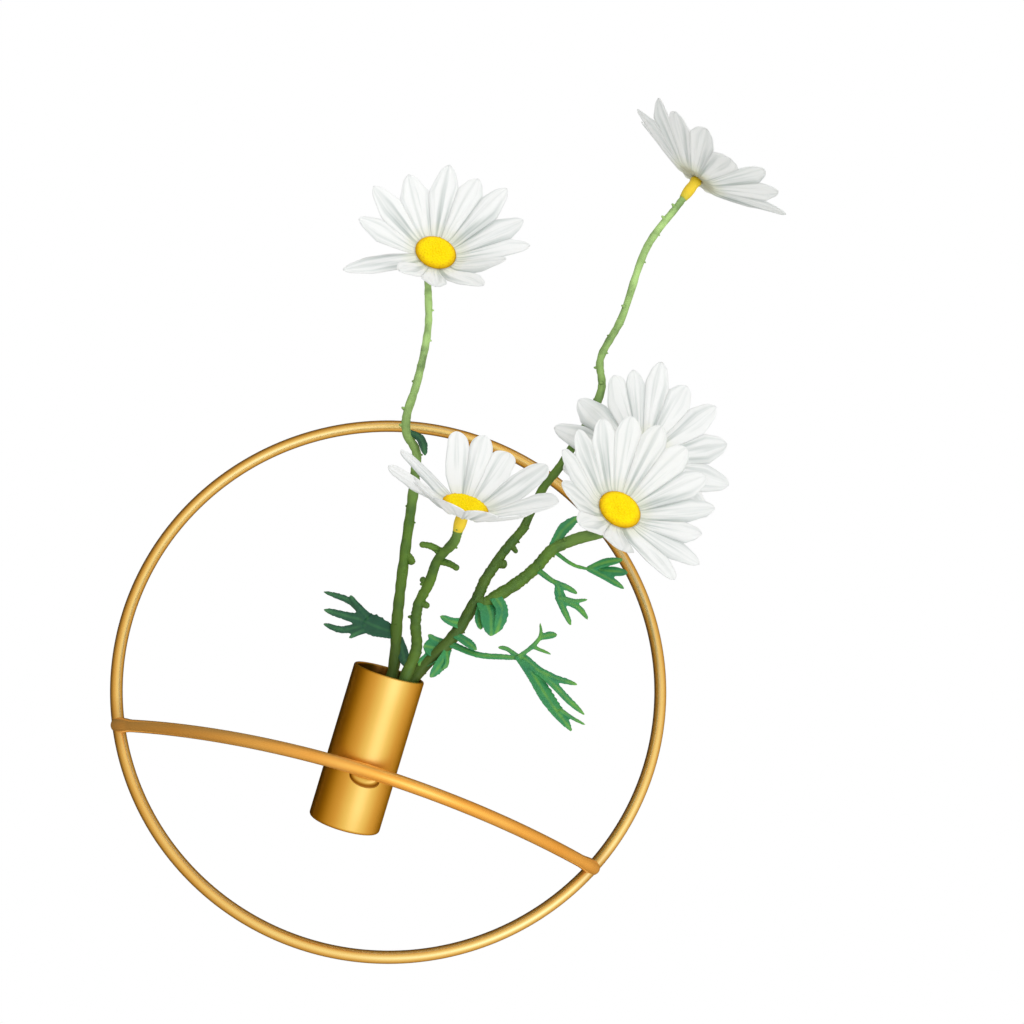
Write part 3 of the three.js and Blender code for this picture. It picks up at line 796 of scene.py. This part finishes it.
def add_petals(name, shoulder, narrowing, seed, petals):
    """A head's petals in order round it, each (turn and lift in degrees, length and width in millimetres).

    Neighbours share an edge as far out as they are both wide enough, unless their lifts differ too much.
    The stamped folds start at the root, and fade a little at the tip.
    """
    chance = random.Random(seed)
    shapes = []
    for turn, lift, length, _ in petals:
        droop = math.radians(chance.uniform(*DROOP_DEGREES))
        shapes.append((length * MM, math.radians(lift), droop, math.radians(turn)))
    points = []
    faces = []
    squares = []
    matrix = head_frame(name)
    for petal, shape in enumerate(shapes):
        own = petal_line(*shape[:3])
        half_width = petals[petal][3] * MM / 2
        crease = CREASE * chance.uniform(*CREASE_SPREAD)
        sides = {}
        for side in (-1, 1):
            other = shapes[(petal + side) % len(shapes)]
            apart = (other[3] - shape[3] + math.pi) % (2 * math.pi) - math.pi
            edge = [(a + b) / 2 for a, b in zip(shape[:3], other[:3])]
            if abs(other[1] - shape[1]) > math.radians(LOOSE_DEGREES):
                edge = shape[:3]
            sides[side] = (petal_line(*edge), apart / 2)
        start = len(points)
        for row, share in enumerate(row_shares):
            fade = math.sin(0.5 * math.pi * min(1, FOLD_RISE * share)) * (1 - FOLD_FADE * share ** 4)
            half = half_width * outline(share, shoulder, narrowing)
            for column in range(COLUMNS + 1):
                across = 2 * column / COLUMNS - 1
                edge, sweep = sides[1 if across > 0 else -1]
                out = abs(across) * min(1, half / abs(own[row][0] * sweep))
                reach, height, slope = (a + (b - a) * out ** 2 for a, b in zip(own[row], edge[row]))
                rise = fade * (crease * math.cos(FOLDS * math.pi * across) - SAG * out ** 2)
                reach -= rise * math.sin(slope)
                height += rise * math.cos(slope)
                angle = shape[3] + sweep * out
                points.append(matrix @ Vector((reach * math.cos(angle), reach * math.sin(angle), height)))
        for row in range(ROWS):
            for column in range(COLUMNS):
                corner = start + row * (COLUMNS + 1) + column
                faces.append((corner, corner + COLUMNS + 1, corner + COLUMNS + 2, corner + 1))
                spots = ((column, row), (column, row + 1), (column + 1, row + 1), (column + 1, row))
                squares += [(petal + across / COLUMNS, row_shares[along]) for across, along in spots]
    piece = new_piece(name + "_white_petals", points, (), faces)
    layer = piece.data.uv_layers.new(name="petal")
    layer.data.foreach_set("uv", [value for square in squares for value in square])
    piece.data.shade_smooth()
    piece.data.materials.append(petal_white)
    wall = piece.modifiers.new("cloth thickness", "SOLIDIFY")
    wall.thickness = PETAL_THICKNESS
    wall.offset = 0
    settle(piece)
    join(piece, BODY_OF_HEAD[name], name + "_petals")


add_petals("left", 0.72, 0.68, 4, [
    (-164, 26, 32, 11), (-138, 0, 36, 7.5), (-106, 38, 31.5, 8.5), (-77, 38, 31.5, 9), (-40, 38, 32, 9.5),
    (-8, 46, 31, 9), (20, 29, 35, 9.5), (38, 34, 35, 10.5), (64, 34, 37, 11.5), (84, 31, 34, 11.5),
    (105, 29, 35.5, 12), (134, 27, 31.5, 12), (164, 26, 33, 12),
])
add_petals("front", 0.62, 0.3, 9, [
    (6, 31, 30.5, 17), (46, 35, 34, 12), (75, 29, 32.5, 10.5), (93, 38, 33.5, 9.5), (111, 34, 33, 9),
    (145, 13, 32, 6), (176, 16.5, 27.8, 10), (-153, 36, 22, 9), (-127, 35, 29, 13), (-101, 33.5, 30, 13),
    (-75, 33.5, 30, 13), (-48, 35, 29, 13), (-20, 33, 23, 9),
])
add_petals("tall", 0.78, 0.6, 14, [
    (-170, 15, 33.5, 9), (-150, 29, 34, 10.5), (-125, 22, 33, 13), (-100, 23, 33, 13.5), (-76, 13, 32.5, 12),
    (-53, 26, 33.5, 12), (-32, 24, 33.5, 11.5), (-8, 18, 35, 11.5), (20, 24, 33, 12), (48, 24, 33, 12),
    (76, 24, 33, 12), (104, 24, 33, 12), (132, 22, 33, 12), (162, 18, 33, 12),
])
add_petals("middle", 0.7, 0.6, 23, [
    (-178, 41, 32, 11), (-148, 40, 31, 11), (-116, 36, 31, 11), (-82, 36, 31, 11), (-43, 18, 34, 9.5),
    (-21, 18, 33.5, 9.5), (-2, 28, 29.5, 9), (22, 26, 33, 11), (46, 26, 34, 13), (68, 27, 35, 13.5),
    (88, 28, 36, 13.5), (108, 30, 35, 13.5), (130, 32, 33, 12.5), (156, 37, 32, 11.5),
])
add_petals("back", 0.72, 0.62, 31, [
    (-7, 19, 32.5, 11.5), (23, 20, 30.5, 12), (51, 19, 32.5, 12), (75, 16, 31.5, 11.5), (96, 21, 36, 11.5),
    (114, 21, 32.5, 9), (128, 22, 32, 11.5), (160, 24, 32, 12), (-174, 24, 36.5, 10.5), (-148, 22, 33, 12),
    (-121, 22, 33, 12), (-93, 20, 33, 12), (-64, 20, 33, 12), (-34, 20, 33, 12),
])

# Discs
# A domed button of tightly packed florets, moulded in soft plastic in one with its backing and flocked
# yellow. It is glued on the petals, over the sleeve's peg.
DISC_RADIUS = 7.6 * MM
DISC_EDGE = 0.3 * MM
DISC_DOME = 1.7 * MM
DOME_POWER = 2.4
DISC_SEAT = 1.2 * MM
DISC_SEGMENTS = 40
DISC_ROWS = 8
FLORET_COUNT = 130
FLORET_RADIUS = 0.68 * MM
GOLDEN_ANGLE = math.radians(137.508)

# Flocked yellow: matte, in patches of two yellows, and orange-brown towards the rim as painted shade where
# the dome curves away.
disc_yellow, tree = new_material("flocked_yellow_florets")
tone = mix(tree, noise(tree, 1.6 * MM, 2), "#F8E400", "#F2CE00")
# Painted shade: orange-brown towards the rim of the disc.
tone = mix(tree, remap(tree, marked(tree, "out"), 0.75, 1.05), tone, "#D99A08")
end_material(tree, tone, 0.85, {"IOR": 1.45, "Specular IOR Level": 0.2})

# Florets on a dome, each a golden angle on from the last, over the button that is given.
disc_tree, given = new_tree("florets_on_a_dome", Count="NodeSocketInt", Radius="NodeSocketFloat",
                            Dome="NodeSocketFloat", Floret="NodeSocketFloat", Seed="NodeSocketInt",
                            Finish="NodeSocketMaterial")
index = add(disc_tree, "GeometryNodeInputIndex").outputs["Index"]
turn = calc(disc_tree, "MULTIPLY", index, GOLDEN_ANGLE)
share = calc(disc_tree, "SQRT", calc(disc_tree, "DIVIDE", index, given["Count"]))
reach = calc(disc_tree, "MULTIPLY", share, given["Radius"])
level = calc(disc_tree, "SUBTRACT", 1.0, calc(disc_tree, "POWER", share, DOME_POWER))
level = calc(disc_tree, "MULTIPLY", level, given["Dome"])
spot = add(disc_tree, "ShaderNodeCombineXYZ", {"X": reach, "Z": level})
spot = add(disc_tree, "ShaderNodeVectorRotate", {
    "Vector": spot.outputs["Vector"], "Angle": turn,
}, rotation_type="Z_AXIS")
seeds = add(disc_tree, "GeometryNodePoints", {"Count": given["Count"], "Position": spot.outputs["Vector"]})
seeds = add(disc_tree, "GeometryNodeStoreNamedAttribute", {
    "Geometry": seeds.outputs["Points"], "Name": "out", "Value": share,
})
floret = add(disc_tree, "GeometryNodeMeshUVSphere", {"Segments": 7, "Rings": 5, "Radius": 1.0})
size = add(disc_tree, "FunctionNodeRandomValue", {
    "Min": 0.85, "Max": 1.15, "Seed": given["Seed"],
}, data_type="FLOAT")
size = calc(disc_tree, "MULTIPLY", size.outputs["Value"], given["Floret"])
florets = add(disc_tree, "GeometryNodeInstanceOnPoints", {
    "Points": seeds.outputs["Geometry"], "Instance": floret.outputs["Mesh"], "Scale": size,
})
whole = add(disc_tree, "GeometryNodeJoinGeometry", {"Geometry": florets.outputs["Instances"]})
disc_tree.links.new(given["Geometry"], whole.inputs["Geometry"])
end_tree(disc_tree, whole.outputs["Geometry"], given["Finish"])

profile = [(0, 0), (DISC_RADIUS, 0)]
for row in range(1, DISC_ROWS):
    share = 1 - row / DISC_ROWS
    profile.append((DISC_RADIUS * share, DISC_EDGE + DISC_DOME * (1 - share ** DOME_POWER)))
profile.append((0, DISC_EDGE + DISC_DOME))
for seed, (name, body) in enumerate(BODY_OF_HEAD.items()):
    disc = spun(name + "_yellow_disc", profile, DISC_SEGMENTS, Matrix.Identity(4))
    mark(disc, "out", [vertex.co.xy.length / DISC_RADIUS for vertex in disc.data.vertices])
    grow(disc, disc_tree, Count=FLORET_COUNT, Radius=DISC_RADIUS - FLORET_RADIUS, Dome=DISC_DOME,
         Floret=FLORET_RADIUS, Seed=seed, Finish=disc_yellow)
    disc.data.transform(head_frame(name) @ Matrix.Translation((0, 0, DISC_SEAT)))
    join(disc, body, name + "_disc")

# Leaves
# Blue-green plastic, moulded flat with finger-like lobes and a raised, paler rib down each finger.
# Each is pushed on to its stem by a short stalk.
LEAF_VOXEL = 0.3 * MM
LEAF_SOFTENING = 8
LEAF_THICKNESS = 0.95 * MM
THINNING = 0.35
CUPPING = 0.18
WIDEST_AT = 0.55
RIB_REACH = 1.1 * MM
FINGER_STEPS = 14
FINGER_SIDES = 10
RIB_STEPS = 30


def leaf_plastic(name, deep, light, along_rib):
    """Soft polyethylene, moulded: mottled blue-green with a satin gloss, paler along the ribs."""
    material, tree = new_material(name)
    mottle = noise(tree, 5 * MM, 4)
    rib = remap(tree, calc(tree, "MULTIPLY", marked(tree, "rib"), mottle), 0.1, 0.55, 0, 0.8)
    tone = mix(tree, rib, mix(tree, mottle, deep, light), along_rib)
    end_material(tree, tone, 0.45, {
        "IOR": 1.5, "Normal": bump(tree, noise(tree, 0.9 * MM, 3), 0.15, 0.1 * MM),
    })
    return material


# The right spray's leaves are a fresh green; the left spray's are darker and bluer.
leaf_green = leaf_plastic("blue_green_polyethylene_leaf", "#11705A", "#43A04E", "#7DB43A")
dark_leaf_green = leaf_plastic("dark_green_polyethylene_leaf", "#083C33", "#1C6044", "#3E7F4A")


def finger(rib, root, wide, up):
    """One finger of a leaf: a slightly cupped blade that swells and tapers to a point along its rib."""
    curve = smooth(rib, FINGER_STEPS // (len(rib) - 1) + 1)
    points = []
    for at, point in enumerate(curve):
        share = at / (len(curve) - 1)
        ahead = curve[min(at + 1, len(curve) - 1)] - curve[max(at - 1, 0)]
        across = up.cross(ahead).normalized()
        lift = ahead.cross(across).normalized()
        past = max(0, (share - WIDEST_AT) / (1 - WIDEST_AT))
        half = root + (wide - root) * min(1, share / WIDEST_AT)
        half *= math.sqrt(max(1 - past ** 2, ROUND_END))
        thick = LEAF_THICKNESS * (1 - THINNING * share) / 2
        for turn in range(FINGER_SIDES):
            angle = 2 * math.pi * turn / FINGER_SIDES
            side = math.cos(angle)
            rise = thick * math.sin(angle) + CUPPING * half * side * side
            points.append(point + half * side * across + rise * lift)
    faces = []
    for row in range(0, len(points) - FINGER_SIDES, FINGER_SIDES):
        for turn in range(FINGER_SIDES):
            beside = (turn + 1) % FINGER_SIDES
            above = row + FINGER_SIDES
            faces.append((row + turn, row + beside, above + beside, above + turn))
    faces.append(range(FINGER_SIDES - 1, -1, -1))
    faces.append(range(len(points) - FINGER_SIDES, len(points)))
    return points, faces


def leaf(name, body, cad_node, up, fingers, finish=leaf_green):
    """A leaf of fingers, each (points from the mouth, half width at its root, half width at its widest).

    All are in millimetres. The fingers are fused to one skin, and its points know how near a rib they are.
    """
    points = []
    faces = []
    ribs = []
    for places, root, wide in fingers:
        rib = [offset(place) for place in places]
        new_points, new_faces = finger(rib, root * MM, wide * MM, Vector(up))
        faces += [[corner + len(points) for corner in face] for face in new_faces]
        points += new_points
        ribs += smooth(rib, RIB_STEPS)
    piece = new_piece(name, points, (), faces)
    skin = piece.modifiers.new("one skin", "REMESH")
    skin.mode = "VOXEL"
    skin.voxel_size = LEAF_VOXEL
    piece.modifiers.new("soft edges", "SMOOTH").iterations = LEAF_SOFTENING
    settle(piece)
    piece.data.shade_smooth()
    nearby = kdtree.KDTree(len(ribs))
    for at, point in enumerate(ribs):
        nearby.insert(point, at)
    nearby.balance()
    gaps = [nearby.find(vertex.co)[2] for vertex in piece.data.vertices]
    mark(piece, "rib", [max(0, 1 - gap / RIB_REACH) for gap in gaps])
    piece.data.materials.append(finish)
    join(piece, body, cad_node)


leaf("left_spray_leaf", "left_spray", "left_leaf", (0.1, -0.95, 0.2), [
    [[(-2, 6, 15), (-9, 5, 15), (-16, 4, 15.5)], 2.6, 4.6],
    [[(-13, 4, 17), (-20, 3.5, 20.5), (-30, 2, 20.8)], 2.0, 1.5],
    [[(-14, 4, 15.5), (-21, 3, 15), (-28, 2, 14.7)], 2.6, 1.7],
    [[(-13, 4, 14), (-20, 3, 10), (-26.6, 2, 9.9)], 2.0, 1.5],
    [[(-16, 3.5, 19), (-19, 3, 21), (-21, 3, 22.7)], 1.2, 1.0],
    [[(-13, 3.5, 12), (-15, 3, 10), (-16.8, 3, 7.9)], 1.4, 1.0],
    [[(-1, 6, 14), (2.2, 6, 9), (4.6, 5.4, 4.5)], 1.8, 2.4],
], dark_leaf_green)
leaf("left_spray_bract", "left_spray", "left_bract", (0.3, -0.9, 0), [
    [[(-19, -1, 85.4), (-14.4, -2.4, 83.4), (-10.8, -3, 77.6)], 1.2, 2.0],
], dark_leaf_green)
leaf("right_lower_leaf", "right_spray", "lower_leaf", (0.2, -0.9, 0.3), [
    [[(17, -3, 14.5), (27, -5, 13.2), (36, -6.5, 14.8), (42, -7, 16)], 1.6, 1.3],
    [[(40, -7, 16.5), (47, -8.5, 10.4), (54, -10, 3.5), (63.5, -12, -4.3)], 2.2, 3.3],
    [[(42, -7.5, 16), (53.4, -9.5, 9.9), (60, -11, 5.5), (66.3, -12, 2.2)], 2.0, 1.7],
    [[(47, -8.5, 13), (54, -9.3, 12), (61.6, -10, 11.9)], 2.0, 1.5],
    [[(58, -11, 1.5), (63, -11.5, 0), (67.5, -12, -1)], 1.2, 0.8],
    [[(40.5, -7, 16.5), (43.4, -6.5, 20.7), (45.4, -6, 25.5), (44, -5.5, 30.4)], 0.9, 0.9],
    [[(45, -6, 24.5), (47.8, -6, 26.5), (50.8, -6, 27.8)], 0.9, 1.7],
    [[(43.5, -6.5, 21), (47, -6.5, 20.7), (50.6, -7, 20.2)], 0.9, 0.8],
    [[(39.5, -6.5, 16.5), (35.4, -6, 17.8), (32.6, -6, 17.5)], 1.0, 1.1],
    [[(17.8, -3.5, 18), (21.6, -5, 16.4), (26, -6.5, 14.2)], 1.8, 2.2],
])
leaf("right_node_leaf", "right_spray", "node_leaf", (0.3, -0.9, 0.2), [
    [[(19.5, -3, 22.5), (15, -5, 21.6), (10.8, -6, 22.1)], 2.6, 1.8],
])
leaf("right_inner_leaf", "right_spray", "inner_leaf", (0.1, -0.95, 0.2), [
    [[(16, -1, 13.5), (12.5, -1.2, 12.2), (8.2, -1.4, 11.6)], 3.2, 3.8],
    [[(15.5, -1, 14.5), (11.5, -1.2, 15), (8.6, -1.4, 16)], 2.0, 1.4],
    [[(15, -1, 12), (11.5, -1.2, 8), (8.5, -1.4, 4.6)], 2.6, 2.6],
])
leaf("right_mouth_leaf", "right_spray", "mouth_leaf", (0.6, -0.8, 0.2), [
    [[(16.6, -2, 13.7), (16, -2.6, 8.4), (13.6, -3.2, 1.4)], 1.6, 2.5],
    [[(16.5, -2.4, 11), (17.6, -2.8, 7.9), (16.9, -3, 5.4)], 1.2, 1.1],
])
leaf("right_web_leaf", "right_spray", "web_leaf", (0.2, -0.95, 0.1), [
    [[(24.5, -5, 31.5), (27, -7.5, 27), (29.2, -8.5, 19.8)], 4.0, 4.2],
    [[(27, -6, 34), (30.2, -7.5, 30), (30.8, -8.5, 21.5)], 2.6, 2.6],
    [[(23.4, -5.6, 29), (23.6, -7, 25), (25.4, -8, 21)], 2.0, 1.8],
])
leaf("right_hanging_leaf", "right_spray", "hanging_leaf", (0.1, -1, 0.1), [
    [[(38.5, -5.5, 48), (43.3, -7, 45.6), (47, -7.5, 44.5)], 1.4, 1.2],
    [[(45, -7.5, 45), (49.7, -8, 44.2), (53.6, -8, 43.2)], 1.2, 1.3],
    [[(46, -7.5, 44.8), (47.4, -8, 41.6), (49.5, -8.5, 38)], 1.0, 2.2],
    [[(47.5, -8, 40), (53.2, -9, 40.1), (57.4, -9, 42)], 1.4, 0.9],
    [[(48, -8.5, 39.5), (55.1, -9, 38.1), (59.3, -9.5, 34.9)], 1.4, 1.3],
    [[(47.5, -8, 40), (50.7, -9, 35.6), (54.2, -9.5, 31.2)], 1.5, 1.4],
])
leaf("right_ring_leaf", "right_spray", "ring_leaf", (0, -0.9, 0.3), [
    [[(41.5, -5.5, 56.5), (49.8, -5, 53.8), (57, -4, 54.5)], 1.0, 0.9],
    [[(55, -4, 54.3), (59.5, -4, 57.8), (66, -4, 61.5)], 1.2, 2.0],
    [[(55, -4, 54.3), (62.6, -4, 53), (69, -4, 51.2)], 1.2, 1.7],
    [[(56, -3.5, 54.5), (63, -3, 56.2), (68.9, -3, 57.6)], 1.6, 2.4],
    [[(41, -5.6, 57.5), (42.8, -6, 64.5), (47, -7, 71)], 1.6, 2.4],
])

# Camera
# It looks up at the holder from in front and below, and is rolled about its line of sight, so that the ring
# seems turned clockwise.
CAMERA_AT = MM * Vector((19.94, -584.94, -227.20))
CAMERA_AZIMUTH = math.radians(-0.45)
CAMERA_ELEVATION = math.radians(-20.46)
CAMERA_ROLL = math.radians(16.65)
CAMERA_LENS = 56.70
CAMERA_SENSOR = 36
back = Vector((
    math.sin(CAMERA_AZIMUTH) * math.cos(CAMERA_ELEVATION),
    -math.cos(CAMERA_AZIMUTH) * math.cos(CAMERA_ELEVATION),
    math.sin(CAMERA_ELEVATION),
))
level = (-back).cross(Vector((0, 0, 1))).normalized()
upright = level.cross(-back)
right = math.cos(CAMERA_ROLL) * level + math.sin(CAMERA_ROLL) * upright
up = math.cos(CAMERA_ROLL) * upright - math.sin(CAMERA_ROLL) * level
camera = bpy.data.objects.new("camera", bpy.data.cameras.new("camera"))
camera.data.lens = CAMERA_LENS
camera.data.sensor_width = CAMERA_SENSOR
camera.matrix_world = Matrix.Translation(CAMERA_AT) @ Matrix((right, up, back)).transposed().to_4x4()
bpy.context.scene.collection.objects.link(camera)
bpy.context.scene.camera = camera

# Studio
# A pale floor well below the holder, a large soft key light low on the right, a light from above and a fill
# from the left, in a white surround.
FLOOR_DROP = 0.85
FLOOR_HALF = 4
floor_z = cad_box[0][2] - FLOOR_DROP
corners = ((-1, -1), (1, -1), (1, 1), (-1, 1))
floor_points = [(FLOOR_HALF * x, FLOOR_HALF * y, floor_z) for x, y in corners]
floor = new_piece("floor", floor_points, (), [(0, 1, 2, 3)])
floor_paint, tree = new_material("pale_floor_paint")
end_material(tree, linear("#E9E9E7"), 0.9)
floor.data.materials.append(floor_paint)
floor.visible_glossy = False


def soft_light(name, place, size, power):
    """A square lamp that faces the ring's middle, in metres and watts."""
    lamp = bpy.data.lights.new(name, "AREA")
    lamp.size = size
    lamp.energy = power
    stand = bpy.data.objects.new(name, lamp)
    stand.location = place
    stand.rotation_euler = (Vector(place) - ring_centre).to_track_quat("Z", "Y").to_euler()
    stand.visible_glossy = False
    bpy.context.scene.collection.objects.link(stand)


soft_light("key_light", (0.74, -1.1, -0.52), 1.0, 7.8)
soft_light("top_light", (0.1, -0.7, 1.3), 1.0, 5)
soft_light("fill_light", (-0.7, -1.2, 0.4), 0.9, 3)

# A dome that only glossy surfaces see, in place of the lamps and the floor: a warm, dim room with a pale
# window in front and to the right. The tone goes by the angle from the window, which has a brighter pane in
# its middle.
DOME_RADIUS = 2.2
DOME_SEGMENTS = 48
DOME_ROWS = 24
WINDOW_WAY = Vector((0.49, -0.81, -0.32)).normalized()
ROOM_TONES = (
    (0.0, "#241A06"), (0.2, "#63480A"), (0.36, "#8A6810"), (0.51, "#B18F3E"), (0.77, "#D4B270"),
    (0.94, "#EEE8B6"), (1.0, "#FFFFFF"),
)
profile = arc((0, 0), DOME_RADIUS, -90, 90, DOME_ROWS)
profile = [(0, -DOME_RADIUS)] + profile[1:-1] + [(0, DOME_RADIUS)]
dome = spun("room_dome", profile, DOME_SEGMENTS, Matrix.Translation(ring_centre))
dome_paint, tree = new_material("room_seen_in_metal")
place = add(tree, "ShaderNodeTexCoord").outputs["Object"]
away = add(tree, "ShaderNodeVectorMath", {0: place, 1: list(-ring_centre)}, operation="ADD")
away = add(tree, "ShaderNodeVectorMath", {0: away.outputs["Vector"]}, operation="NORMALIZE")
ahead = add(tree, "ShaderNodeVectorMath", {
    0: away.outputs["Vector"], 1: list(WINDOW_WAY),
}, operation="DOT_PRODUCT")
share = remap(tree, ahead.outputs["Value"], -1, 1)
surface = add(tree, "ShaderNodeEmission", {
    "Color": ramp(tree, share, *ROOM_TONES), "Strength": remap(tree, share, 0.95, 1, 1.15, 1.55),
})
add(tree, "ShaderNodeOutputMaterial", {"Surface": surface.outputs["Emission"]})
dome.data.materials.append(dome_paint)
dome.visible_camera = False
dome.visible_diffuse = False
dome.visible_shadow = False
dome.visible_transmission = False

# The surround is pure white to look at and in mirrors, and a little dimmer as a light.
world = bpy.data.worlds.new("white_surround")
bpy.context.scene.world = world
world.use_nodes = True
tree = world.node_tree
tree.nodes.clear()
ray = add(tree, "ShaderNodeLightPath").outputs
shown = calc(tree, "MAXIMUM", ray["Is Camera Ray"], ray["Is Glossy Ray"])
shown = calc(tree, "MAXIMUM", shown, ray["Is Transmission Ray"])
sky = add(tree, "ShaderNodeBackground", {"Color": (1, 1, 1, 1), "Strength": remap(tree, shown, 0, 1, 0.7, 1)})
add(tree, "ShaderNodeOutputWorld", {"Surface": sky.outputs["Background"]})
bpy.context.scene.view_settings.view_transform = "Standard"
